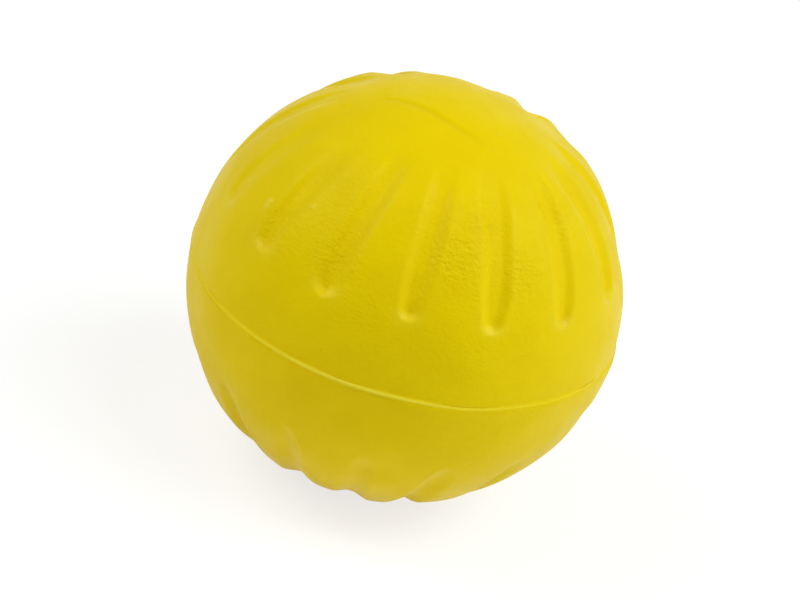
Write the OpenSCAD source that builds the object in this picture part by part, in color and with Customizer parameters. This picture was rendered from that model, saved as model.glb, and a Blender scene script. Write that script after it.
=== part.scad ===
// Moulded foam ball: two grooved covers bonded round a light foam core.
// Millimetres. The origin is the ball's centre, +Z runs through the upper pole, and -Y is the front.
// The seam lies in the XY plane. Angles above the seam are measured like latitudes.

/* [Ball] */
// Diameter of the skin at the seam, without the raised bead
ball_d = 90; // [76:1:160]
// How much less the skin rises to a pole than it spreads at the seam
pole_drop = 0.6; // [0.3:0.1:2]

/* [Grooves] */
// Number of grooves round each half
groove_count = 15; // [8:1:17]
// Width of a groove at the skin
groove_w = 5.8; // [4:0.1:6.5]
// Depth of a groove below the skin
groove_depth = 1.2; // [0.8:0.1:2]
// Angle above the seam at which a groove starts
groove_start = 20; // [12:1:30]
// Turn of the first groove from the front
groove_turn = 3; // [0:1:20]

/* [Poles] */
// Angle above the seam at which the ribs between the grooves end
rib_end = 60; // [50:1:64]
// How far the smooth pole lies below the floors of the grooves
pole_step = 0.1; // [0.05:0.05:0.5]

/* [Covers] */
// Wall of a cover at the seam
cover_t = 9; // [7:0.5:14]
// Height of the lap where the upper rim sits inside the lower one
lap_h = 3; // [2:0.5:5]

/* [Bonds] */
// Thickness of the adhesive between the rims
seam_bond_t = 0.3; // [0.2:0.05:0.5]
// Width of the raised bead that the seam adhesive leaves on the skin
bead_w = 0.7; // [0.6:0.1:1.4]
// Thickness of the adhesive between the core and the covers
core_bond_t = 0.3; // [0.2:0.05:0.6]

/* [Hidden] */

// Smoothness of the round shapes
$fn = 120;
// How far a cutting or joining shape runs past the face that it serves
overrun = 1;

// Skin: each half is part of a sphere whose centre lies a little beyond the seam
ball_r = ball_d / 2;
pole_r = ball_r - pole_drop;
skin_drop = (pow(ball_r, 2) - pow(pole_r, 2)) / (2 * pole_r);
skin_r = pole_r + skin_drop;

// Grooves: a round-nosed tool follows the skin, so the lower end of a groove is round
tool_r = (pow(groove_w / 2, 2) + pow(groove_depth, 2)) / (2 * groove_depth);
tool_path_r = skin_r + tool_r - groove_depth;
// The tool's nose is a little slimmer than its shank
nose_ease = 0.02;
groove_w_angle = 360 * groove_w / (2 * PI * skin_r);
tool_low_angle = groove_start + groove_w_angle / 2;
tool_high_angle = rib_end + groove_w_angle;
groove_pitch = 360 / groove_count;

// Poles: the ribs slope down on a level shelf to a smooth dome just below the groove floors
shelf_z = skin_r * sin(rib_end) - skin_drop;
dome_r = skin_r - groove_depth - pole_step;

// Covers, core and bonds
cavity_r = ball_r - cover_t;
core_r = cavity_r - core_bond_t;
lap_r = ball_r - cover_t / 2;
bond_half = seam_bond_t / 2;
bead_r = bead_w / 2;

// One groove, cut towards +X
module groove_tool() {
    translate([0, 0, -skin_drop])
        rotate([90, 0, 0])
            rotate([0, 0, tool_low_angle]) {
                rotate_extrude(angle = tool_high_angle - tool_low_angle)
                    translate([tool_path_r, 0])
                        circle(r = tool_r);
                translate([tool_path_r, 0, 0])
                    sphere(r = tool_r - nose_ease);
            }
}

// What is taken off above the ribs to leave the smooth dome
module pole_relief() {
    difference() {
        translate([0, 0, shelf_z])
            cylinder(r = ball_r, h = ball_r);
        translate([0, 0, -skin_drop])
            sphere(r = dome_r);
    }
}

// Outside of the upper half, as a solid that runs on below the seam
module moulded_form() {
    difference() {
        translate([0, 0, -skin_drop])
            sphere(r = skin_r);
        for (k = [0 : groove_count - 1])
            rotate([0, 0, groove_turn + k * groove_pitch - 90])
                groove_tool();
        pole_relief();
    }
}

// Everything above the upper face of the seam bond
module above_bond() {
    translate([0, 0, bond_half])
        cylinder(r = ball_d, h = ball_d);
}

// Round bead that stands out of the skin at the seam and fills the eased edges of both rims
module seam_bead() {
    rotate_extrude()
        translate([ball_r, 0])
            circle(r = bead_r);
}

// Upper cover, with the inner lip that enters the lower cover
module upper_cover() {
    color([0.86, 0.77, 0.05])
        difference() {
            union() {
                intersection() {
                    moulded_form();
                    above_bond();
                }
                translate([0, 0, bond_half - lap_h])
                    cylinder(r = lap_r - bond_half, h = lap_h + overrun);
            }
            sphere(r = cavity_r);
            seam_bead();
        }
}

// Lower cover, with the recess that takes the lip
module lower_cover() {
    color([0.83, 0.73, 0.04])
        difference() {
            mirror([0, 0, 1])
                intersection() {
                    moulded_form();
                    above_bond();
                }
            translate([0, 0, -lap_h - bond_half])
                cylinder(r = lap_r + bond_half, h = lap_h + overrun);
            sphere(r = cavity_r);
            seam_bead();
        }
}

// Light foam ball inside the covers
module foam_core() {
    color([0.93, 0.91, 0.84])
        sphere(r = core_r);
}

// Adhesive coat between the core and the covers
module core_adhesive() {
    color([0.84, 0.62, 0.20])
        difference() {
            sphere(r = cavity_r);
            sphere(r = core_r);
        }
}

// Adhesive between the stepped rims, ending outside in the raised bead
module seam_adhesive() {
    color([0.90, 0.82, 0.12])
        difference() {
            union() {
                rotate_extrude()
                    polygon([
                        [cavity_r - overrun, -lap_h - bond_half],
                        [lap_r + bond_half, -lap_h - bond_half],
                        [lap_r + bond_half, -bond_half],
                        [ball_r, -bond_half],
                        [ball_r, bond_half],
                        [lap_r - bond_half, bond_half],
                        [lap_r - bond_half, -lap_h + bond_half],
                        [cavity_r - overrun, -lap_h + bond_half]
                    ]);
                seam_bead();
            }
            sphere(r = cavity_r);
        }
}

upper_cover();
lower_cover();
foam_core();
core_adhesive();
seam_adhesive();
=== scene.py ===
from functools import partial
from math import cos, exp, pi, radians, sin, sqrt

import bpy
import numpy as np
from bpy.props import FloatProperty, FloatVectorProperty, IntProperty, PointerProperty
from mathutils import Matrix, Vector


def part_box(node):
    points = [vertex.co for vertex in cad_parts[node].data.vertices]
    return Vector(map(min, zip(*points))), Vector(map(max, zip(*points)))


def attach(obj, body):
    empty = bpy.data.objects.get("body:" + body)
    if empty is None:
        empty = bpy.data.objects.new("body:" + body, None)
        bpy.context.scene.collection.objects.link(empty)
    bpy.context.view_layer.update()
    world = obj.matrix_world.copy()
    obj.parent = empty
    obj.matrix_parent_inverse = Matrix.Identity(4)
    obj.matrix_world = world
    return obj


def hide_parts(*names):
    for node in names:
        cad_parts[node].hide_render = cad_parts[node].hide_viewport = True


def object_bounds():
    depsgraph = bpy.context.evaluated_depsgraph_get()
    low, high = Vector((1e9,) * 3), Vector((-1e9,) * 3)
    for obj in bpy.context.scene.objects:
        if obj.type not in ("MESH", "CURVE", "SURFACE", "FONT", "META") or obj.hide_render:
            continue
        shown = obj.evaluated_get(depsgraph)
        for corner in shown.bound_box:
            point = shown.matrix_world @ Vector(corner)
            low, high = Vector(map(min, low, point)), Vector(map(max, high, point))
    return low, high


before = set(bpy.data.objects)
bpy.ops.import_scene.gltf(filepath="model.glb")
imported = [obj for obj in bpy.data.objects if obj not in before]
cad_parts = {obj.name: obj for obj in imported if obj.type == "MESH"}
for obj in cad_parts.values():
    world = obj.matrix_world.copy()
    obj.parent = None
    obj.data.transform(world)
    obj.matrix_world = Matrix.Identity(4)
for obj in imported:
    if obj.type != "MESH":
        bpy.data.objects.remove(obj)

bl_info = {
    "name": "Moulded foam ball",
    "version": (1, 0, 0),
    "blender": (4, 5, 0),
    "location": "View3D > Sidebar > Foam Ball",
    "description": "Dresses the packed foam ball with moulded covers, a seam bead, a foam core and a studio",
}

# The root body carries every piece, because nothing on the ball moves
BODY = "root"
MM = 0.001

# Seeds of the chance faults of the upper and the lower moulding
UPPER_SEED, LOWER_SEED = 11, 29

# Random fields over the surface: wavelength and seed
WRINKLE_FIELD = (30 * MM, 3)
STRAY_FIELD = (22 * MM, 5)
BEAD_FIELD = (7 * MM, 8)
DENT_FIELD = (4 * MM, 17)
UNEVEN_WAVE = 14 * MM
# Waves that a random field is summed from
WAVE_COUNT = 24

# Points round a cover, the seam adhesive and the core, and along a fold
COVER_POINTS, SEAM_POINTS, CORE_POINTS, FOLD_POINTS = 720, 1440, 240, 60
# Number of rings, and the angle of the last, over the cavity and over the core, then the depth of cut cells
CAVITY_ROWS, CAVITY_TIP, CORE_ROWS, CORE_TIP, CELL_DEPTH = 40, radians(86), 120, radians(88), 0.06 * MM

# Rings of a cover's skin: angle above the seam in degrees that they reach, their number, and by how much
# their points are thinned. The first lies at the bead's edge, given in parts of its radius
SKIN_START = 0.95
SKIN_ROWS = (
    (18, 30, 1), (27, 24, 1), (53, 44, 1), (66, 28, 1), (80, 50, 1),
    (85, 10, 2), (87.5, 5, 4), (88.9, 3, 8), (89.6, 2, 16),
)

# How much the grooves differ by chance: width, start in radians and depth
WIDTH_SCATTER, START_SCATTER, DEPTH_SCATTER = 0.05, radians(0.5), 0.08

# Common form of a groove, in parts of its width or of its wall: the top of an upper one, the nose, the
# rounding of the nose and the walls of a lower one
UPPER_TOP, NOSE_WIDTH, NOSE_ROUND, LOWER_WALL = 1.05, 0.7, 0.8, 1.9

# Stretches above the seam in degrees, as start and length: where an upper groove leans, where a groove
# widens towards its top, and where the skin of each half goes over to its dome
LEAN_STRETCH, TOP_STRETCH = (15, 50), (35, 22)
UPPER_DOME_STRETCH, LOWER_DOME_STRETCH = (49, 13), (50, 15)

# Lengths in radians: over which a groove widens past its nose, over which an upper one runs out, and over
# which the step between the halves fades
NOSE_LENGTH, RUN_OUT_LENGTH, STEP_FADE = radians(12), radians(15), radians(5)

# Where the moulding is out of round: angle above the seam, turn from the front, height in mm, and spread,
# with all angles in degrees
BULGES = (
    (23, 103, -0.40, 7), (37, 116, 0.75, 9), (44, 124, 0.50, 5), (50, 133, 0.90, 6), (55, 143, 0.70, 5),
    (58, 154, 0.60, 6), (52, -134, 0.25, 4), (58, -160, 0.30, 9), (37, -115, -0.25, 12),
    (-20, -79, 0.25, 12), (-39, -62, 0.65, 11), (-54, -32, 0.45, 14), (-60, 8, 0.20, 8),
    (-57, 33, -0.35, 4), (-24, 76, 0.40, 9), (-37, 66, 0.15, 9), (-50, 44, 0.15, 8),
)

# Grooves that differ from the rest, by the seed of their half and their number round it: the turn gained
# towards the pole and the angle where an upper one runs out are in degrees, and the width at the top and at
# the nose, the depth and the run of the left and the right wall are in parts of the common ones
ODD_GROOVES = {
    (UPPER_SEED, 0): {"lean": 1.5, "top": 0.90, "right": 1.35},
    (UPPER_SEED, 1): {"lean": 2.0, "top": 1.05, "left": 1.1},
    (UPPER_SEED, 2): {"lean": 6.0, "top": 0.95, "left": 1.6, "end": 59},
    (UPPER_SEED, 3): {"lean": 4.0, "top": 1.00, "left": 2.6, "depth": 0.9},
    (UPPER_SEED, 4): {"lean": 2.0, "top": 1.00, "left": 2.4, "depth": 0.9},
    (UPPER_SEED, 5): {"lean": 8.0, "top": 1.00, "depth": 0.3},
    (UPPER_SEED, 6): {"lean": -2.0, "top": 1.10, "depth": 1.15, "end": 60},
    (UPPER_SEED, 9): {"lean": -2.2, "depth": 2.0},
    (UPPER_SEED, 11): {"depth": 0.6, "end": 55, "right": 1.4},
    (UPPER_SEED, 12): {"depth": 0.35, "end": 50, "right": 1.6},
    (UPPER_SEED, 13): {"lean": 1.0, "nose": 0.90, "depth": 0.75, "end": 47, "right": 1.4},
    (UPPER_SEED, 14): {"lean": 1.0, "top": 0.95, "nose": 0.95, "end": 57, "left": 0.9, "right": 1.6},
    (LOWER_SEED, 0): {"lean": -1.0, "top": 1.15},
    (LOWER_SEED, 1): {"lean": -1.5, "depth": 1.25},
    (LOWER_SEED, 14): {"lean": -2.0, "top": 1.20},
}

# Where the skin is wrinkled: angle above the seam, turn from the front, strength, spread in degrees
WRINKLES = (
    (40, 15, 1.15, 7.5), (36, 38, 0.9, 8), (30, -23, 0.9, 7), (51, 22, 0.8, 8), (27, -45, 0.7, 9),
    (48, 60, 0.8, 8), (45, 1, 0.4, 7), (20, -12, 0.4, 10), (12, 22, 0.4, 9), (-12, 150, 0.8, 14),
    (40, -150, 0.9, 14), (-42, -170, 0.8, 14), (-35, 100, 0.7, 12), (35, 170, 0.7, 12),
    (-20, -120, 0.7, 12),
)

# Strength of the faint wrinkles everywhere else
FAINT_WRINKLES = 0.12

# Rubbing along the edges of the upper grooves, a painted highlight round their noses, the spread of both
# across a wall, and how far a nose draws them inwards
RUBBED_EDGE, NOSE_HIGHLIGHT, RUBBED_HIGHLIGHT_SPREAD, NOSE_INWARD = 0.04, 0.30, 0.5, 0.3
# Place and spread of a nose's band above the start of its groove, the angle where rubbing and painted
# highlights end, the angle above which the folds get painted shade, and how deep the outside of a cover may
# lie
NOSE_BAND, NOSE_BAND_SPREAD = radians(2.0), radians(1.8)
RUBBED_HIGHLIGHT_TO, CREASE_SHADE_FROM, OUTSIDE_DEPTH = radians(57), radians(60), 3 * MM
# How much the rubbing with its painted highlights, and the painted shade in the folds, change the colour
RUBBED_HIGHLIGHT_TINT, CREASE_SHADE_TINT = 0.6, 0.55

# Trimmed gate mark on the lower half, in degrees: its middle's angle and turn, half height, half length, edge
GATE_MARK = (-6.5, 86, 6.5, 17, 5.0)

# Small nibs on the upper half: angle above the seam, turn from the front, height in mm
NIBS = (
    (31.0, -52.5, 0.34), (29.5, -52.3, 0.28), (75.0, 57.0, 0.20), (70.5, 40.5, 0.20),
    (69.5, 88.5, 0.20), (60.5, -81.0, 0.15), (59.5, -53.5, 0.15), (37.3, -37.8, 0.15),
    (22.5, -69.5, 0.14), (25.5, -68.5, 0.10), (29.0, -68.0, 0.12), (33.5, -68.5, 0.10),
    (38.5, -70.0, 0.12),
)
NIB_SIZE = 0.55 * MM

# Folds across the upper dome: strength, then points in mm right of and behind the pole
FOLDS = (
    (1.0, ((-15.0, -2.5), (-11.4, -3.3), (-8.0, -4.7), (-5.0, -5.8), (-2.3, -7.4), (1.2, -8.8),
           (4.9, -10.2), (7.7, -11.3))),
    (0.25, ((1.8, 5.7), (6.2, 1.1), (8.2, -2.5), (8.9, -5.8))),
)

# Greatest height of the bead in parts of its radius, then in parts of that: what stands everywhere, what its
# clearness adds and what chance changes
BEAD_PROUD, BEAD_LEAST, BEAD_CLEAR, BEAD_SCATTER = 0.8, 0.2, 0.75, 0.10
# Turn in degrees where the bead is clearest and the spread, then its clearness behind and that spread
CLEAR_TURN, CLEAR_SPREAD, CLEAR_BEHIND, BEHIND_SPREAD = -3, 33, 0.5, 0.6
# Rings over the bead, how far they and its foot reach in spreads, and how deep its sides sink into the skin
BEAD_ROWS, BEAD_REACH, FOOT_REACH, BEAD_SINK = 27, 2.2, 2.4, 0.03 * MM
# Least height of the bead, and the rounding of the hidden rims' corners
LEAST_BEAD, RIM_EASE = 0.02 * MM, 0.25 * MM

# Width of the picture in pixels and of the camera's sensor in millimetres, then the camera's nearest and
# farthest sight and half the side of the floor in metres
PICTURE_W, SENSOR_W = 800, 36.0
NEAR_CLIP, FAR_CLIP, FLOOR_HALF = 0.01, 50.0, 8.0

# Lamps: name, way from the ball, distance, width and height in metres, strength, share of red, and way of the
# long side. The ways are in the picture's axes: right, up and towards the camera
LAMPS = (
    ("key", (0.71, 0.50, 0.48), 0.9, (0.85, 0.46), 4.8, 0.94, (0.77, 0.05, -0.63)),
    ("top left", (-0.50, 0.75, 0.43), 0.9, (0.6, 0.6), 3.9, 0.97, (1.0, 0.0, 0.0)),
    ("right fill", (0.93, 0.10, 0.35), 1.1, (1.2, 1.2), 3.3, 0.94, (1.0, 0.0, 0.0)),
    ("low fill", (0.10, -0.38, 0.92), 0.9, (0.4, 0.4), 0.20, 1.0, (1.0, 0.0, 0.0)),
)

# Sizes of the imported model, from the boxes of its nodes: the skin at the seam, the lower dome, the foot of
# the upper lip, the bead's reach and radius, the foot of the recess for the lip, the cavity and the core
CAD_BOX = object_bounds()
upper_low, upper_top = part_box("upper_cover")
bond_low, bond_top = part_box("seam_adhesive")
SEAM_R, DOME_Z, LIP_Z = upper_top.x, upper_top.z, upper_low.z
BEAD_TOP, BEAD_R, RECESS_Z = bond_top.x, bond_top.z, bond_low.z
CAVITY_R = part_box("core_adhesive")[1].z
CORE_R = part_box("foam_core")[1].z

# Half of the gap between the rims, and the radius of its middle where it turns down
BOND_HALF = (LIP_Z - RECESS_Z) / 2
LAP_R = (SEAM_R + CAVITY_R) / 2


class BallShape(bpy.types.PropertyGroup):
    """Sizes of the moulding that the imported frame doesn't give."""

    groove_count: IntProperty(
        name="Grooves", description="Number of grooves round each half", default=15, min=8, max=17)
    groove_turn: FloatProperty(
        name="Groove turn", description="Turn of the first groove from the front",
        default=radians(3), subtype="ANGLE")
    groove_lean: FloatProperty(
        name="Groove lean", description="Turn that an upper groove gains on its way to the pole",
        default=radians(2), subtype="ANGLE")
    groove_width: FloatProperty(
        name="Groove width", description="Width of a groove between the tops of its walls",
        default=7.5 * MM, unit="LENGTH")
    groove_depth: FloatProperty(
        name="Groove depth", description="Depth of a groove's floor below the skin",
        default=1.2 * MM, unit="LENGTH")
    wall_run: FloatProperty(
        name="Wall run", description="Width over which a groove's side falls from rib to floor",
        default=2.5 * MM, unit="LENGTH")
    groove_start: FloatProperty(
        name="Groove start", description="Angle above the seam at which a groove starts",
        default=radians(19.2), subtype="ANGLE")
    lower_nose: FloatProperty(
        name="Lower groove noses", description="Length of a lower groove's nose, in noses of an upper one",
        default=4.0, min=1.0, max=6.0)
    rib_end: FloatProperty(
        name="Rib end", description="Angle above the seam at which the ribs have sunk to the dome",
        default=radians(62), subtype="ANGLE")
    rib_end_run: FloatProperty(
        name="Rib end run", description="Length over which the end of a rib sinks to the dome",
        default=5.5 * MM, unit="LENGTH")
    rib_end_round: FloatProperty(
        name="Rib end roundness", description="Corner rounding of a rib's end, in widths of its walls",
        default=1.15, min=1.0, max=3.0)
    groove_end: FloatProperty(
        name="Groove end", description="Angle above the seam at which an upper groove has half run out",
        default=radians(58), subtype="ANGLE")
    upper_dome_drop: FloatProperty(
        name="Upper dome drop", description="How far the upper dome lies below the tops of the ribs",
        default=0.45 * MM, unit="LENGTH")
    pole_drop: FloatProperty(
        name="Pole drop", description="How much less the skin rises to a pole than it spreads at the seam",
        default=0.6 * MM, unit="LENGTH")
    unevenness: FloatProperty(
        name="Unevenness", description="Height of the slow waves that a foam moulding keeps",
        default=0.05 * MM, unit="LENGTH")
    mould_step: FloatProperty(
        name="Mould step", description="How far the lower skin stands proud of the upper skin at the seam",
        default=0.22 * MM, unit="LENGTH")
    gate_height: FloatProperty(
        name="Gate mark height", description="Height of the trimmed gate mark below the seam",
        default=0.35 * MM, unit="LENGTH")
    fold_height: FloatProperty(
        name="Fold height", description="Height of the soft step across the upper dome",
        default=0.12 * MM, unit="LENGTH")
    fold_depth: FloatProperty(
        name="Fold depth", description="Depth of the crease at the bottom of that step",
        default=0.20 * MM, unit="LENGTH")
    fold_width: FloatProperty(
        name="Fold width", description="Width over which the step across the dome rises",
        default=1.5 * MM, unit="LENGTH")
    fold_reach: FloatProperty(
        name="Fold reach", description="Distance over which the step eases away on either side",
        default=5.0 * MM, unit="LENGTH")
    bead_spread: FloatProperty(
        name="Bead spread", description="Distance from the seam at which the bead has fallen to a third",
        default=0.34 * MM, unit="LENGTH")
    bead_rise: FloatProperty(
        name="Bead rise", description="How far the crest of the bead stands above the plane of the seam",
        default=0.17 * MM, unit="LENGTH")
    bead_wander: FloatProperty(
        name="Bead wander", description="How far the seam bead strays from a true circle",
        default=0.09 * MM, unit="LENGTH")


class BallFinish(bpy.types.PropertyGroup):
    """Colours and surface detail."""

    skin: FloatVectorProperty(
        name="Skin", description="Yellow of the moulded foam", subtype="COLOR",
        default=(0.832, 0.612, 0.000), min=0.0, max=1.0)
    skin_deep: FloatVectorProperty(
        name="Deeper skin", description="Yellow of the denser patches of skin", subtype="COLOR",
        default=(0.807, 0.582, 0.000), min=0.0, max=1.0)
    # Paler yellow of rubbed edges, also used as the painted highlight on the groove noses and nibs
    skin_worn_highlight: FloatVectorProperty(
        name="Rubbed skin", description="Paler yellow of the rubbed high edges", subtype="COLOR",
        default=(0.845, 0.690, 0.020), min=0.0, max=1.0)
    # Paler yellow of the flash, also standing in for the bead's highlight in front as a painted highlight
    bead: FloatVectorProperty(
        name="Bead", description="Paler yellow of the thin bead at the seam", subtype="COLOR",
        default=(0.930, 0.775, 0.050), min=0.0, max=1.0)
    core: FloatVectorProperty(
        name="Core foam", description="Off-white of the light core", subtype="COLOR",
        default=(0.780, 0.730, 0.600), min=0.0, max=1.0)
    core_cells: FloatVectorProperty(
        name="Core cells", description="Shade inside the cut cells of the core", subtype="COLOR",
        default=(0.520, 0.460, 0.340), min=0.0, max=1.0)
    adhesive: FloatVectorProperty(
        name="Adhesive", description="Amber of the dried adhesive", subtype="COLOR",
        default=(0.560, 0.300, 0.050), min=0.0, max=1.0)
    roughness: FloatProperty(
        name="Skin roughness", description="Roughness of the moulded skin", default=0.45, min=0.0, max=1.0)
    grain_size: FloatProperty(
        name="Grain size", description="Width of one cell of the leathery grain",
        default=0.75 * MM, unit="LENGTH")
    grain_height: FloatProperty(
        name="Grain height", description="Height of the leathery grain", default=0.08 * MM, unit="LENGTH")
    pit_size: FloatProperty(
        name="Pit spacing", description="Distance between the places where a moulding pit may be",
        default=6.0 * MM, unit="LENGTH")


class BallStage(bpy.types.PropertyGroup):
    """Camera and studio."""

    distance: FloatProperty(
        name="Camera distance", description="From the camera to the ball's centre",
        default=0.9, unit="LENGTH")
    focal_length: FloatProperty(
        name="Focal length", description="Lens of the camera in millimetres", default=196.65)
    elevation: FloatProperty(
        name="Elevation", description="Height of the camera above the seam's plane",
        default=radians(29.14), subtype="ANGLE")
    roll: FloatProperty(
        name="Roll", description="Lean of the ball's upper pole to the right of the picture",
        default=radians(16.17), subtype="ANGLE")
    centre_x: FloatProperty(
        name="Centre right", description="Pixels from the picture's middle right to the ball's centre",
        default=5.0)
    centre_y: FloatProperty(
        name="Centre up", description="Pixels from the picture's middle up to the ball's centre",
        default=13.5)
    world_strength: FloatProperty(
        name="Room light", description="Strength of the even light of the room", default=0.18)


def smooth_step(t):
    """Zero below 0, one above 1 and a smooth rise between them."""
    t = np.clip(t, 0.0, 1.0)
    return t * t * (3.0 - 2.0 * t)


def risen(angle, start, length):
    """Smooth rise from zero to one over a stretch above the seam that is given in degrees."""
    return smooth_step((angle - radians(start)) / radians(length))


def wrapped(turn):
    """The same turn, between minus and plus half a round."""
    return (turn + pi) % (2 * pi) - pi


def even_turns(count):
    """Turns from the front, evenly spread once round the ball."""
    return np.arange(count) * (2 * pi / count)


def rounded_corner(u, v, roundness):
    """Distance inside the corner of two edges at u = 0 and v = 0, with the corner rounded."""
    du = np.maximum(roundness - u, 0.0)
    dv = np.maximum(roundness - v, 0.0)
    return np.where((du > 0) & (dv > 0), roundness - np.hypot(du, dv), np.minimum(u, v))


def wave_field(points, wavelength, seed):
    """Smooth random field of unit height over points in space, the same on each run."""
    rng = np.random.default_rng(seed)
    ways = rng.normal(size=(WAVE_COUNT, 3))
    ways /= np.linalg.norm(ways, axis=1, keepdims=True)
    pace = 2 * pi / wavelength * rng.uniform(0.6, 1.4, WAVE_COUNT)
    phase = rng.uniform(0, 2 * pi, WAVE_COUNT)
    field = np.zeros(points.shape[:-1])
    for way, rate, start in zip(ways, pace, phase):
        field += np.sin(points @ way * rate + start)
    return field / sqrt(WAVE_COUNT / 2)


def ring_points(radius, height, count):
    """A level ring of points; radius and height may differ from point to point."""
    turn = even_turns(count)
    return np.stack([radius * np.sin(turn), -radius * np.cos(turn), height + 0 * turn], axis=-1)


def directions(angle, turn):
    """Unit vectors at an angle above the seam and a turn from the front."""
    return np.stack([np.cos(angle) * np.sin(turn), -np.cos(angle) * np.cos(turn),
                     np.sin(angle) + 0 * turn], axis=-1)


def place_way(height, turn):
    """Unit vector to one place on the ball, given by two angles in degrees."""
    return directions(radians(height), np.array(radians(turn)))


def angle_apart(ways, height, turn):
    """Angle between unit vectors and one place on the ball."""
    return np.arccos(np.clip(ways @ place_way(height, turn), -1.0, 1.0))


def groove_side(angle, turn, shape, seed):
    """Place across the nearest groove's wall (0 at its floor, 1 at the rib), its depth and its run-out."""
    # Each groove has its own small faults, as a hand-finished mould leaves them
    rng = np.random.default_rng(seed)
    count = shape.groove_count
    broader = 1.0 + WIDTH_SCATTER * rng.uniform(-1, 1, count)
    later = START_SCATTER * rng.uniform(-1, 1, count)
    pitch = 2 * pi / count
    front = 0.5 + 0.5 * np.cos(shape.groove_turn + np.arange(count) * pitch)
    upper = seed == UPPER_SEED
    own = {
        "lean": np.degrees(shape.groove_lean) * front * upper,
        "top": UPPER_TOP if upper else 1.0,
        "nose": NOSE_WIDTH,
        "depth": 1.0 + DEPTH_SCATTER * rng.uniform(-1, 1, count),
        "end": np.degrees(shape.groove_end),
        "left": 1.0 if upper else LOWER_WALL,
        "right": 1.0 if upper else LOWER_WALL,
    }
    own = {name: np.full(count, value, dtype=float) for name, value in own.items()}
    for (half_seed, number), values in ODD_GROOVES.items():
        if half_seed == seed:
            for name, value in values.items():
                own[name][number % count] = value
    near = np.round((turn - shape.groove_turn) / pitch).astype(int) % count
    own = {name: values[near] for name, values in own.items()}
    lean = np.radians(own["lean"]) * risen(angle, *LEAN_STRETCH)
    line = shape.groove_turn + near * pitch + lean
    off_line = wrapped(turn - line) * np.cos(angle) * SEAM_R
    from_nose = smooth_step((angle - shape.groove_start) / NOSE_LENGTH)
    upward = risen(angle, *TOP_STRETCH)
    widening = (own["nose"] + (1.0 - own["nose"]) * from_nose) * (1.0 + (own["top"] - 1.0) * upward)
    half_w = shape.groove_width / 2 * broader[near] * widening
    round_nose = NOSE_ROUND * shape.groove_width / 2
    nose_length = round_nose * (1.0 if upper else shape.lower_nose)
    nose_angle = shape.groove_start + later[near] + nose_length / SEAM_R
    below_nose = np.maximum(nose_angle - angle, 0.0) * SEAM_R * round_nose / nose_length
    run = np.minimum(shape.wall_run * np.where(off_line > 0, own["right"], own["left"]), half_w)
    beside = (np.hypot(off_line, below_nose) - half_w) / run + 1.0
    run_out = smooth_step((angle - np.radians(own["end"])) / RUN_OUT_LENGTH + 0.5)
    return beside, shape.groove_depth * own["depth"], run_out


def mould_offset(turn, shape):
    """How far the lower skin stands proud of the upper one at the seam, most in front."""
    return shape.mould_step * (0.7 + 0.3 * np.cos(turn))


def gate_mark(angle, turn, shape):
    """Height of the trimmed gate mark on the lower skin."""
    middle_angle, middle_turn, half_height, half_length, edge = GATE_MARK
    up_down = np.abs(np.degrees(-angle) - middle_angle) / half_height
    along = np.abs(np.degrees(wrapped(turn - radians(middle_turn)))) / half_length
    inside = (1.0 - np.hypot(up_down ** 2, along ** 2) ** 0.5) * half_height / edge
    return shape.gate_height * smooth_step(inside + 0.5)


def skin_radius(angle, turn, shape, seed):
    """Reach of a cover's skin from the ball's centre, at angles above the seam and turns from the front."""
    pole_r = SEAM_R - shape.pole_drop
    drop = (SEAM_R ** 2 - pole_r ** 2) / (2 * pole_r)
    sphere_r = pole_r + drop
    skin = np.sqrt(sphere_r ** 2 - (drop * np.cos(angle)) ** 2) - drop * np.sin(angle)
    beside, groove_depth, run_out = groove_side(angle, turn, shape, seed)
    upper = seed == UPPER_SEED
    if upper:
        raised = smooth_step(beside)
        sunk = shape.upper_dome_drop * risen(angle, *UPPER_DOME_STRETCH)
        reach = skin - sunk - groove_depth * (1.0 - run_out) * (1.0 - raised)
    else:
        below_end = (shape.rib_end - angle) * sphere_r / shape.rib_end_run
        raised = smooth_step(rounded_corner(beside, below_end, shape.rib_end_round))
        dome_depth = pole_r - DOME_Z
        toward_dome = risen(angle, *LOWER_DOME_STRETCH)
        depth = groove_depth * (1.0 - toward_dome) + dome_depth * toward_dome
        reach = skin - depth * (1.0 - raised)
    ways = directions(angle, turn)
    reach += shape.unevenness * wave_field(ways * SEAM_R, UNEVEN_WAVE, seed)
    for height, place_turn, rise, spread in BULGES:
        if (height > 0) == upper:
            apart = angle_apart(ways, abs(height), place_turn)
            reach += rise * MM * np.exp(-(apart / radians(spread)) ** 2)
    if upper:
        step, line = fold_marks(ways * SEAM_R, shape)
        reach += shape.fold_height / 2 * step - shape.fold_depth * line
        for height, place_turn, rise in NIBS:
            apart = np.linalg.norm(ways - place_way(height, place_turn), axis=1) * SEAM_R
            reach += rise * MM * np.exp(-(apart / NIB_SIZE) ** 2)
    else:
        reach += mould_offset(turn, shape) * np.exp(-(angle / STEP_FADE) ** 2)
        reach += gate_mark(angle, turn, shape)
    return reach


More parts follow.
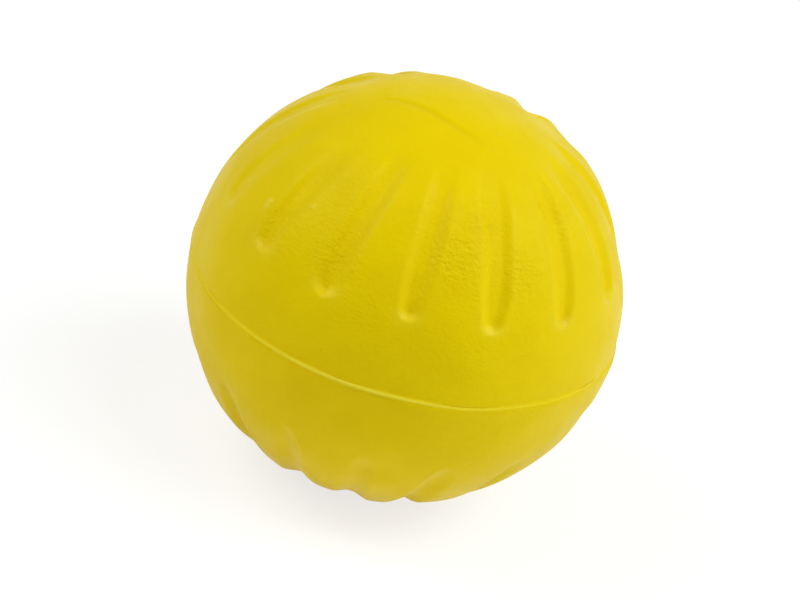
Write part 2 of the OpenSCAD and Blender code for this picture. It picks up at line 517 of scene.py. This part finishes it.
def fold_marks(points, shape):
    """Folds across the dome: a low step, +1 behind and -1 in front, and a line, 1 along its bottom."""
    steps, lines = np.zeros(len(points)), np.zeros(len(points))
    flat = points[:, :2]
    for strength, line in FOLDS:
        line = np.array(line) * MM
        along = np.concatenate([[0.0], np.cumsum(np.hypot(*np.diff(line, axis=0).T))])
        fine = np.linspace(0.0, along[-1], FOLD_POINTS)
        path = np.stack([np.interp(fine, along, line[:, k]) for k in (0, 1)], axis=-1)
        way = np.gradient(path, axis=0)
        way /= np.linalg.norm(way, axis=1, keepdims=True)
        gap = flat[:, None] - path
        nearest = np.argmin(np.hypot(gap[..., 0], gap[..., 1]), axis=1)
        off = gap[np.arange(len(flat)), nearest]
        ahead = way[nearest]
        behind = ahead[:, 0] * off[:, 1] - ahead[:, 1] * off[:, 0]
        past_end = np.abs(ahead[:, 0] * off[:, 0] + ahead[:, 1] * off[:, 1])
        ends = strength * np.sqrt(np.clip(np.sin(pi * fine[nearest] / along[-1]), 0.0, 1.0))
        ends = ends * np.exp(-(past_end / MM) ** 2)
        across = behind / (shape.fold_width / 2)
        steps += ends * np.tanh(across) * np.exp(-(behind / shape.fold_reach) ** 2)
        lines = np.maximum(lines, ends * np.exp(-across ** 2))
    return steps, lines


def join_rings(lower, upper):
    """Faces between two rings of point numbers; the upper one may have half as many."""
    a, b = np.asarray(lower), np.asarray(upper)
    n = len(a)
    if len(b) == n:
        return [(a[i], a[(i + 1) % n], b[(i + 1) % n], b[i]) for i in range(n)]
    faces = []
    for j in range(len(b)):
        left, middle, right = a[2 * j], a[2 * j + 1], a[(2 * j + 2) % n]
        low, high = b[j], b[(j + 1) % len(b)]
        faces += [(left, middle, low), (middle, high, low), (middle, right, high)]
    return faces


def add_object(name, data):
    """Object in the scene for a mesh, a lamp or a camera."""
    thing = bpy.data.objects.new(name, data)
    bpy.context.scene.collection.objects.link(thing)
    return thing


def mesh_from_rings(name, rings, closed=False, tip=None, foot=None):
    """Object of one skin through rings of points, closed to a tip, a foot or round on itself."""
    points, numbers, faces = [], [], []
    for ring in rings:
        numbers.append(np.arange(len(points), len(points) + len(ring)))
        points.extend(map(tuple, ring))
    for lower, upper in zip(numbers, numbers[1:]):
        faces += join_rings(lower, upper)
    if closed:
        faces += join_rings(numbers[-1], numbers[0])
    for end, ring, flip in ((tip, numbers[-1], False), (foot, numbers[0], True)):
        if end is not None:
            points.append(tuple(end))
            fan = [(ring[i], ring[(i + 1) % len(ring)], len(points) - 1) for i in range(len(ring))]
            faces += [face[::-1] for face in fan] if flip else fan
    mesh = bpy.data.meshes.new(name)
    mesh.from_pydata(points, [], [tuple(int(i) for i in face) for face in faces])
    mesh.polygons.foreach_set("use_smooth", [True] * len(mesh.polygons))
    mesh.update()
    return add_object(name, mesh)


def outer_rings(shape, seed):
    """Rings of a cover's skin from the bead's edge to the pole, and the tip that closes them."""
    rings = []
    first = BEAD_R * SKIN_START / SEAM_R
    for last, rows, thinned in SKIN_ROWS:
        turn = even_turns(COVER_POINTS // thinned)
        for angle in np.linspace(first, radians(last), rows, endpoint=False):
            reach = skin_radius(np.full(len(turn), angle), turn, shape, seed)
            rings.append(directions(angle, turn) * reach[:, None])
        first = radians(last)
    tip_reach = skin_radius(np.array([pi / 2]), np.array([0.0]), shape, seed)[0]
    return rings, (0.0, 0.0, tip_reach)


def store_values(piece, name, values):
    """Keeps a value at each of a mesh's points for its material."""
    layer = piece.data.attributes.new(name, "FLOAT", "POINT")
    layer.data.foreach_set("value", values.astype(np.float32))


def mark_surface(piece, shape, seed):
    """Stores where a cover's skin is wrinkled, where painted shade darkens its folds, where its high spots
    are rubbed and where its groove noses and nibs carry a painted highlight.
    """
    points = np.empty(len(piece.data.vertices) * 3)
    piece.data.vertices.foreach_get("co", points)
    points = points.reshape(-1, 3)
    reach = np.linalg.norm(points, axis=1)
    ways = points / reach[:, None]
    wrinkled = FAINT_WRINKLES + FAINT_WRINKLES * np.clip(wave_field(points, *WRINKLE_FIELD), -1, 1)
    for height, place_turn, strength, spread in WRINKLES:
        apart = np.degrees(angle_apart(ways, height, place_turn))
        wrinkled = np.maximum(wrinkled, strength * np.exp(-(apart / spread) ** 2))
    rubbed_and_highlight, crease_shade = np.zeros(len(points)), np.zeros(len(points))
    if seed == UPPER_SEED:
        angle = np.arcsin(np.clip(ways[:, 2], -1.0, 1.0))
        beside = groove_side(angle, np.arctan2(ways[:, 0], -ways[:, 1]), shape, seed)[0]
        outside = reach > SEAM_R - OUTSIDE_DEPTH
        # A painted highlight round each groove's nose, and paler wear along the rib edges
        nose = np.exp(-((angle - shape.groove_start - NOSE_BAND) / NOSE_BAND_SPREAD) ** 2)
        off_edge = (beside - 1.0 + NOSE_INWARD * nose) / RUBBED_HIGHLIGHT_SPREAD
        rubbed_and_highlight = (RUBBED_EDGE + NOSE_HIGHLIGHT * nose) * np.exp(-off_edge ** 2)
        rubbed_and_highlight *= (angle < RUBBED_HIGHLIGHT_TO) * outside
        # Each nib's tip is paler: partly wear, partly a painted glint
        for height, place_turn, _ in NIBS:
            apart = np.linalg.norm(points - place_way(height, place_turn) * SEAM_R, axis=1)
            rubbed_and_highlight = np.maximum(rubbed_and_highlight, np.exp(-(apart / NIB_SIZE) ** 2))
        # Painted shade along the bottom of the folds across the dome
        crease_shade = fold_marks(points, shape)[1] * outside * (angle > CREASE_SHADE_FROM)
    store_values(piece, "wrinkled", wrinkled)
    store_values(piece, "rubbed_and_highlight", rubbed_and_highlight)
    store_values(piece, "crease_shade", crease_shade)


def ride_and_dress(piece, node, material):
    """Ties a piece to the ball, hides the node it stands for and gives it its material."""
    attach(piece, BODY)
    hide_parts(node)
    piece.data.materials.append(material)


def feed(tree, socket, value):
    """Gives an input a link from a socket, a plain colour or a number."""
    if isinstance(value, bpy.types.NodeSocket):
        tree.links.new(value, socket)
    else:
        socket.default_value = (*value, 1.0) if socket.type == "RGBA" else value


def set_inputs(tree, step, *values, **inputs):
    """Feeds a node's inputs, in their order or by their names."""
    for socket, value in zip(step.inputs, values):
        feed(tree, socket, value)
    for name, value in inputs.items():
        feed(tree, step.inputs[name.replace("_", " ")], value)
    return step


def new_node(tree, kind, *values, **inputs):
    """New node with its inputs fed."""
    return set_inputs(tree, tree.nodes.new(kind), *values, **inputs)


def math_node(tree, operation, first, second):
    """Math node whose inputs are sockets or numbers; gives its output."""
    step = new_node(tree, "ShaderNodeMath", first, second)
    step.operation = operation
    return step.outputs[0]


def vector_node(tree, operation, *values):
    """Vector math node whose inputs are sockets or vectors; gives its outputs."""
    step = tree.nodes.new("ShaderNodeVectorMath")
    step.operation = operation
    return set_inputs(tree, step, *values).outputs


def map_range(tree, value, low, high, out_low=0.0, out_high=1.0):
    """Smooth map of a socket's value from one range to another."""
    step = new_node(tree, "ShaderNodeMapRange", Value=value, From_Min=low, From_Max=high,
                    To_Min=out_low, To_Max=out_high)
    step.interpolation_type = "SMOOTHSTEP"
    return step.outputs["Result"]


def mix_colour(tree, factor, first, second):
    """Mix of two colours, each a socket or a plain colour."""
    step = tree.nodes.new("ShaderNodeMix")
    step.data_type = "RGBA"
    for number, value in ((0, factor), (6, first), (7, second)):
        feed(tree, step.inputs[number], value)
    return step.outputs[2]


def mix_shader(tree, factor, first, second):
    """Mix of two shaders, from the first to the second."""
    return new_node(tree, "ShaderNodeMixShader", factor, first, second).outputs[0]


def object_place(tree):
    """Place on the ball, in metres."""
    return tree.nodes.new("ShaderNodeTexCoord").outputs["Object"]


def start_group(name, inputs, outputs):
    """Node group of plain values: its tree, its inputs by name and the node that takes its outputs."""
    group = bpy.data.node_groups.new(name, "ShaderNodeTree")
    for socket_name, value in inputs.items():
        socket = group.interface.new_socket(name=socket_name, in_out="INPUT", socket_type="NodeSocketFloat")
        socket.default_value = value
    for socket_name in outputs:
        group.interface.new_socket(name=socket_name, in_out="OUTPUT", socket_type="NodeSocketFloat")
    return group, group.nodes.new("NodeGroupInput").outputs, group.nodes.new("NodeGroupOutput")


def grain_group():
    """Leathery grain of moulded foam: soft cells, level wrinkles where it is wrinkled, and a few pits."""
    name = "Leathery grain"
    if name in bpy.data.node_groups:
        return bpy.data.node_groups[name]
    group, given, leave = start_group(
        name, {"Cell Size": 0.75 * MM, "Pit Spacing": 6 * MM, "Wrinkled": 0.0}, ("Height", "Pits"))
    place = object_place(group)
    maths = partial(math_node, group)

    # The cells and folds lie level, and the cells are bent a little, so that no two are alike
    squashed = vector_node(group, "MULTIPLY", place, (0.7, 0.7, 1.25))[0]
    scale = maths("DIVIDE", 1.0, given["Cell Size"])
    bend = new_node(group, "ShaderNodeTexNoise", Vector=place, Detail=1.0,
                    Scale=maths("MULTIPLY", scale, 0.45))
    bent = vector_node(group, "MULTIPLY_ADD", bend.outputs["Color"], (0.9 * MM,) * 3, squashed)[0]
    cells = new_node(group, "ShaderNodeTexVoronoi", Vector=bent, Scale=scale)
    cells.feature = "SMOOTH_F1"
    cells.inputs["Smoothness"].default_value = 0.7
    fine = new_node(group, "ShaderNodeTexNoise", Vector=place, Detail=2.0,
                    Scale=maths("MULTIPLY", scale, 1.9))
    folds = new_node(group, "ShaderNodeTexNoise", Vector=squashed, Detail=3.0, Roughness=0.6, Distortion=0.6,
                     Scale=maths("MULTIPLY", scale, 0.75))

    # Each cell swells like a pillow, more where the skin is wrinkled, with finer grain on it and folds across
    pillow = maths("SUBTRACT", 1.0, cells.outputs["Distance"])
    strength = maths("ADD", maths("MULTIPLY", given["Wrinkled"], 1.8), 0.4)
    grain = maths("MULTIPLY", pillow, strength)
    grain = maths("ADD", grain, maths("MULTIPLY", fine.outputs["Fac"], 0.4))
    fold = maths("MULTIPLY", folds.outputs["Fac"], given["Wrinkled"])
    grain = maths("ADD", grain, maths("MULTIPLY", fold, 5.0))

    # About one place in seven has a pit
    pits = new_node(group, "ShaderNodeTexVoronoi", Vector=place,
                    Scale=maths("DIVIDE", 1.0, given["Pit Spacing"]))
    near = map_range(group, pits.outputs["Distance"], 0.02, 0.06, 1.0, 0.0)
    chosen = new_node(group, "ShaderNodeSeparateColor", Color=pits.outputs["Color"]).outputs[0]
    pit = maths("MULTIPLY", near, maths("GREATER_THAN", chosen, 0.85))
    set_inputs(group, leave, Height=maths("SUBTRACT", grain, pit), Pits=pit)
    return group


def mottle_group():
    """Slow changes of tone across moulded foam."""
    name = "Foam mottle"
    if name in bpy.data.node_groups:
        return bpy.data.node_groups[name]
    group, given, leave = start_group(name, {"Patch Size": 12 * MM}, ("Mottle",))
    patches = new_node(group, "ShaderNodeTexNoise", Vector=object_place(group), Detail=4.0, Roughness=0.6,
                       Scale=math_node(group, "DIVIDE", 1.0, given["Patch Size"]))
    set_inputs(group, leave, Mottle=map_range(group, patches.outputs["Fac"], 0.32, 0.68))
    return group


def place_group(tree, group, **values):
    """Node group with its own values, placed in a material."""
    step = tree.nodes.new("ShaderNodeGroup")
    step.node_tree = group
    return set_inputs(tree, step, **values).outputs


def surface_value(tree, name):
    """Value that a mesh carries at its points."""
    step = tree.nodes.new("ShaderNodeAttribute")
    step.attribute_type = "GEOMETRY"
    step.attribute_name = name
    return step.outputs["Fac"]


def darker(colour, share):
    """The same colour at a share of its brightness."""
    return tuple(share * part for part in colour)


def new_material(name):
    """Empty node material with a Principled shader."""
    material = bpy.data.materials.new(name)
    material.use_nodes = True
    return material, material.node_tree, material.node_tree.nodes["Principled BSDF"]


def add_bump(tree, shader, height, distance):
    """Bump of a height socket on a shader."""
    bump = new_node(tree, "ShaderNodeBump", Strength=1.0, Distance=distance, Height=height)
    set_inputs(tree, shader, Normal=bump.outputs["Normal"])


def foam_skin_material(name, finish, grain=1.0, flash_and_highlight=False):
    """Semi-matte moulded foam skin; the flash at the seam is paler, partly in its own colour and partly as a
    painted highlight in front.
    """
    material, tree, shader = new_material(name)
    mottle = place_group(tree, mottle_group(), Patch_Size=12 * MM)["Mottle"]
    texture = place_group(tree, grain_group(), Cell_Size=finish.grain_size, Pit_Spacing=finish.pit_size,
                          Wrinkled=surface_value(tree, "wrinkled"))
    if flash_and_highlight:
        # Paleness of the bead: partly the flash's own colour, partly a painted highlight strongest in front
        colour = mix_colour(tree, surface_value(tree, "pale"), finish.skin, finish.bead)
    else:
        colour = mix_colour(tree, mottle, finish.skin, finish.skin_deep)
        # Paler rubbed edges, and a painted highlight on the groove noses and nibs; the coat adds real gloss
        # there
        rubbed_and_highlight = math_node(tree, "MULTIPLY", surface_value(tree, "rubbed_and_highlight"), RUBBED_HIGHLIGHT_TINT)
        colour = mix_colour(tree, rubbed_and_highlight, colour, finish.skin_worn_highlight)
        # Painted shade darkens the folds across the upper dome
        crease_shade = math_node(tree, "MULTIPLY", surface_value(tree, "crease_shade"), CREASE_SHADE_TINT)
        colour = mix_colour(tree, crease_shade, colour, darker(finish.skin_deep, 0.86))
        set_inputs(tree, shader, Coat_Weight=rubbed_and_highlight, Coat_Roughness=0.3)
    # Painted shade darkens the pits
    colour = mix_colour(tree, texture["Pits"], colour, darker(finish.skin_deep, 0.92))
    dull = map_range(tree, mottle, 0.0, 1.0, finish.roughness - 0.04, finish.roughness + 0.05)
    set_inputs(tree, shader, Base_Color=colour, Roughness=dull, Specular_IOR_Level=0.075,
               Specular_Tint=(1.0, 0.95, 0.45))
    add_bump(tree, shader, texture["Height"], finish.grain_height * grain)
    return material


def core_material(finish):
    """Matte cut foam with fine open cells."""
    material, tree, shader = new_material("core foam")
    cells = new_node(tree, "ShaderNodeTexVoronoi", Vector=object_place(tree), Scale=1 / (0.9 * MM))
    hollow = map_range(tree, cells.outputs["Distance"], 0.05, 0.45)
    mottle = place_group(tree, mottle_group(), Patch_Size=8 * MM)["Mottle"]
    colour = mix_colour(tree, hollow, finish.core_cells, finish.core)
    colour = mix_colour(tree, mottle, colour, darker(finish.core, 0.93))
    set_inputs(tree, shader, Base_Color=colour, Roughness=map_range(tree, hollow, 0.0, 1.0, 0.95, 0.82))
    add_bump(tree, shader, hollow, 0.12 * MM)
    return material


def adhesive_material(finish):
    """Dried brushed-on adhesive."""
    material, tree, shader = new_material("dried adhesive")
    mottle = place_group(tree, mottle_group(), Patch_Size=5 * MM)["Mottle"]
    colour = mix_colour(tree, mottle, finish.adhesive, darker(finish.adhesive, 0.72))
    set_inputs(tree, shader, Base_Color=colour, Roughness=map_range(tree, mottle, 0.0, 1.0, 0.28, 0.5))
    add_bump(tree, shader, mottle, 0.08 * MM)
    return material


def seen_directly(tree):
    """One where the camera, a reflection or a see-through surface looks, zero for light on the way."""
    path = tree.nodes.new("ShaderNodeLightPath").outputs
    sharp = math_node(tree, "MAXIMUM", path["Is Glossy Ray"], path["Is Transmission Ray"])
    return math_node(tree, "MAXIMUM", path["Is Camera Ray"], sharp)


def floor_material():
    """Pale paper floor that looks white from above, keeps the ball's shadow and is clear from below."""
    material, tree, paper = new_material("white floor")
    place = object_place(tree)
    fibre = new_node(tree, "ShaderNodeTexNoise", Vector=place, Scale=300.0)
    shade = mix_colour(tree, fibre.outputs["Fac"], (0.93, 0.93, 0.93), (0.95, 0.95, 0.95))
    set_inputs(tree, paper, Base_Color=shade, Roughness=0.9)
    # Seen directly, a glow lifts the lit floor to white, and more so far from the ball and its lamps
    pale = new_node(tree, "ShaderNodeBsdfDiffuse", Color=(0.34, 0.34, 0.34))
    away = vector_node(tree, "LENGTH", place)["Value"]
    glow = new_node(tree, "ShaderNodeEmission", Strength=map_range(tree, away, 0.25, 1.0, 0.74, 1.0))
    white = new_node(tree, "ShaderNodeAddShader", pale.outputs[0], glow.outputs[0]).outputs[0]
    looked_at = mix_shader(tree, seen_directly(tree), paper.outputs[0], white)
    back_side = tree.nodes.new("ShaderNodeNewGeometry").outputs["Backfacing"]
    clear = tree.nodes.new("ShaderNodeBsdfTransparent").outputs[0]
    one_sided = mix_shader(tree, back_side, looked_at, clear)
    set_inputs(tree, tree.nodes["Material Output"], Surface=one_sided)
    return material


def cavity_width(height):
    """Radius of the cavity at a height."""
    return sqrt(CAVITY_R ** 2 - height ** 2)


def rim_rings(half):
    """Rings of a rim from the cavity to the bead's edge: the upper has a lip, the lower a recess for it."""
    if half == "upper":
        wall, end, back = LAP_R - BOND_HALF, LIP_Z, RIM_EASE
    else:
        wall, end, back = LAP_R + BOND_HALF, -RECESS_Z, -RIM_EASE
    steps = (
        (cavity_width(end), end),
        (wall - RIM_EASE, end),
        (wall, end + back),
        (wall, BOND_HALF - back),
        (wall + RIM_EASE, BOND_HALF),
        (SEAM_R - BEAD_R, BOND_HALF),
    )
    return [ring_points(r, z, COVER_POINTS) for r, z in steps]


class FOAMBALL_OT_covers(bpy.types.Operator):
    """Models both moulded covers"""

    bl_idname = "foam_ball.covers"
    bl_label = "Moulded covers"

    def execute(self, context):
        shape = context.scene.ball_shape
        finish = context.scene.ball_finish
        material = foam_skin_material("moulded skin", finish)
        for half, seed in (("upper", UPPER_SEED), ("lower", LOWER_SEED)):
            skin, tip = outer_rings(shape, seed)
            cavity_low = LIP_Z if half == "upper" else -RECESS_Z
            inner_angles = np.linspace(np.arcsin(cavity_low / CAVITY_R), CAVITY_TIP, CAVITY_ROWS)
            cavity = [directions(a, even_turns(COVER_POINTS)) * CAVITY_R for a in inner_angles[:0:-1]]
            rings = cavity + rim_rings(half) + skin
            cover = mesh_from_rings(f"{half}_cover_skin", rings, tip=tip, foot=(0, 0, CAVITY_R))
            # The lower cover is made upside up like the upper one and then turned over
            if half == "lower":
                cover.data.transform(Matrix.Scale(-1, 4, (0, 0, 1)))
                cover.data.flip_normals()
            mark_surface(cover, shape, seed)
            ride_and_dress(cover, f"{half}_cover", material)
        return {"FINISHED"}


def bead_clearness(turn):
    """How clearly the bead stands out round the seam: most in front, half as much behind."""
    in_front = np.exp(-((np.degrees(wrapped(turn)) - CLEAR_TURN) / CLEAR_SPREAD) ** 2)
    return np.maximum(in_front, CLEAR_BEHIND * np.exp(-((turn - pi) / BEHIND_SPREAD) ** 2))


class FOAMBALL_OT_seam(bpy.types.Operator):
    """Models the seam adhesive with its raised bead"""

    bl_idname = "foam_ball.seam"
    bl_label = "Seam bead"

    def execute(self, context):
        shape = context.scene.ball_shape
        finish = context.scene.ball_finish
        turn = even_turns(SEAM_POINTS)
        round_points = directions(0.0, turn) * SEAM_R
        stray = shape.bead_wander * wave_field(round_points, *STRAY_FIELD)
        clearer = bead_clearness(turn)
        chance = 1.0 + BEAD_SCATTER * wave_field(round_points, *BEAD_FIELD)
        proud = BEAD_R * BEAD_PROUD * (BEAD_LEAST + BEAD_CLEAR * clearer) * chance
        proud = np.minimum(proud, BEAD_TOP - SEAM_R)
        foot = SEAM_R - BEAD_R
        foot_z = FOOT_REACH * shape.bead_spread
        rings = [ring_points(foot, -foot_z, SEAM_POINTS)]
        paleness_and_highlight = [0 * turn]
        for z in np.linspace(-BEAD_REACH, BEAD_REACH, BEAD_ROWS) * shape.bead_spread:
            step = mould_offset(turn, shape) * (1.0 - smooth_step(z / shape.bead_spread + 0.5))
            bulge = np.maximum(proud - step, LEAST_BEAD) + BEAD_SINK
            radius = SEAM_R + step + bulge * np.exp(-(z / shape.bead_spread) ** 2) - BEAD_SINK
            rings.append(ring_points(radius, stray + shape.bead_rise + z, SEAM_POINTS))
            # Paleness: partly the flash's own colour, partly a painted highlight that is strongest in front
            paleness_and_highlight.append((0.1 + 0.9 * clearer) * exp(-(z / shape.bead_spread) ** 2))
        rings.append(ring_points(foot, foot_z, SEAM_POINTS))
        between_rims = (
            (foot, BOND_HALF),
            (LAP_R - BOND_HALF, BOND_HALF),
            (LAP_R - BOND_HALF, LIP_Z),
            (cavity_width(LIP_Z), LIP_Z),
            (cavity_width(RECESS_Z), RECESS_Z),
            (LAP_R + BOND_HALF, RECESS_Z),
            (LAP_R + BOND_HALF, -BOND_HALF),
            (foot, -BOND_HALF),
        )
        rings += [ring_points(r, z, SEAM_POINTS) for r, z in between_rims]
        bead = mesh_from_rings("seam_bead", rings, closed=True)
        paleness_and_highlight += [0 * turn] * (len(rings) - len(paleness_and_highlight))
        store_values(bead, "pale", np.concatenate(paleness_and_highlight))
        material = foam_skin_material("seam bead", finish, grain=0.5, flash_and_highlight=True)
        ride_and_dress(bead, "seam_adhesive", material)
        return {"FINISHED"}


class FOAMBALL_OT_core(bpy.types.Operator):
    """Models the foam core and dresses the adhesive round it"""

    bl_idname = "foam_ball.core"
    bl_label = "Foam core"

    def execute(self, context):
        finish = context.scene.ball_finish
        rings = []
        for angle in np.linspace(-CORE_TIP, CORE_TIP, CORE_ROWS):
            ways = directions(angle, even_turns(CORE_POINTS))
            dent = CELL_DEPTH * (1 + wave_field(ways * CORE_R, *DENT_FIELD)) / 2
            rings.append(ways * (CORE_R - np.abs(dent))[:, None])
        core = mesh_from_rings("foam_core_ball", rings, tip=(0, 0, CORE_R), foot=(0, 0, -CORE_R))
        ride_and_dress(core, "foam_core", core_material(finish))
        coat = bpy.data.objects["core_adhesive"]
        coat.material_slots[0].material = adhesive_material(finish)
        return {"FINISHED"}


def add_lamp(axes, name, way, distance, size, strength, red, along):
    """Soft lamp that faces the ball, with its share of red; its ways are given in the picture's axes."""
    data = bpy.data.lights.new(name, "AREA")
    data.shape = "RECTANGLE"
    data.size, data.size_y = size
    data.energy = strength
    data.color = (red, 1.0, 1.0)
    axes = Matrix(axes).transposed()
    away = (axes @ Vector(way)).normalized()
    long_side = axes @ Vector(along)
    long_side = (long_side - away * long_side.dot(away)).normalized()
    turn = Matrix((long_side, away.cross(long_side), away)).transposed()
    add_object(name, data).matrix_world = Matrix.Translation(away * distance) @ turn.to_4x4()


def camera_axes(stage):
    """Right, up and back of the camera in the ball's frame."""
    back = Vector((0.0, -cos(stage.elevation), sin(stage.elevation)))
    level = Vector((1.0, 0.0, 0.0))
    above = Vector((0.0, sin(stage.elevation), cos(stage.elevation)))
    right = level * cos(stage.roll) + above * sin(stage.roll)
    up = above * cos(stage.roll) - level * sin(stage.roll)
    return right, up, back


def add_camera(stage):
    """Camera at the photograph's viewing angle; gives its right, up and back."""
    right, up, back = camera_axes(stage)
    data = bpy.data.cameras.new("camera")
    data.sensor_width = SENSOR_W
    data.lens = stage.focal_length
    data.clip_start, data.clip_end = NEAR_CLIP, FAR_CLIP
    camera = add_object("camera", data)
    focal_pixels = stage.focal_length / SENSOR_W * PICTURE_W
    ray = Vector((stage.centre_x, stage.centre_y, -focal_pixels)).normalized() * stage.distance
    camera.location = -(right * ray.x + up * ray.y + back * ray.z)
    turn = Matrix((right, up, back)).transposed()
    camera.rotation_euler = turn.to_euler()
    bpy.context.scene.camera = camera
    return right, up, back


def light_world(stage):
    """Even room light that the camera sees as plain white."""
    world = bpy.data.worlds.new("room")
    bpy.context.scene.world = world
    world.use_nodes = True
    tree = world.node_tree
    tree.nodes.clear()
    plain = (1.0, 1.0, 1.0)
    room = new_node(tree, "ShaderNodeBackground", Color=plain, Strength=stage.world_strength).outputs[0]
    seen = new_node(tree, "ShaderNodeBackground", Color=plain, Strength=1.0).outputs[0]
    new_node(tree, "ShaderNodeOutputWorld", Surface=mix_shader(tree, seen_directly(tree), room, seen))


class FOAMBALL_OT_stage(bpy.types.Operator):
    """Sets up the floor, the lamps, the room light and the camera"""

    bl_idname = "foam_ball.stage"
    bl_label = "Studio"

    def execute(self, context):
        stage = context.scene.ball_stage
        axes = add_camera(stage)
        light_world(stage)
        low = CAD_BOX[0].z
        corners = [(-1, -1), (1, -1), (1, 1), (-1, 1)]
        mesh = bpy.data.meshes.new("floor")
        mesh.from_pydata([(FLOOR_HALF * x, FLOOR_HALF * y, low) for x, y in corners], [], [(0, 1, 2, 3)])
        mesh.materials.append(floor_material())
        floor = add_object("floor", mesh)
        for lamp in LAMPS:
            add_lamp(axes, *lamp)
        context.scene.view_settings.view_transform = "Standard"
        return {"FINISHED"}


class FOAMBALL_PT_sidebar(bpy.types.Panel):
    """Lists the steps that make the ball"""

    bl_label = "Foam Ball"
    bl_idname = "FOAMBALL_PT_sidebar"
    bl_space_type = "VIEW_3D"
    bl_region_type = "UI"
    bl_category = "Foam Ball"

    def draw(self, context):
        for step in STEPS:
            self.layout.operator(step.bl_idname)
        for group_name in GROUPS:
            group = getattr(context.scene, group_name)
            box = self.layout.box()
            for name in group.bl_rna.properties.keys():
                if name not in ("rna_type", "name"):
                    box.prop(group, name)


STEPS = (FOAMBALL_OT_covers, FOAMBALL_OT_seam, FOAMBALL_OT_core, FOAMBALL_OT_stage)
GROUPS = {"ball_shape": BallShape, "ball_finish": BallFinish, "ball_stage": BallStage}
CLASSES = (*GROUPS.values(), *STEPS, FOAMBALL_PT_sidebar)


def register():
    for item in CLASSES:
        bpy.utils.register_class(item)
    for name, group in GROUPS.items():
        setattr(bpy.types.Scene, name, PointerProperty(type=group))


def unregister():
    for name in GROUPS:
        delattr(bpy.types.Scene, name)
    for item in reversed(CLASSES):
        bpy.utils.unregister_class(item)


def main():
    register()
    bpy.ops.foam_ball.covers()
    bpy.ops.foam_ball.seam()
    bpy.ops.foam_ball.core()
    bpy.ops.foam_ball.stage()


if __name__ == "__main__":
    main()
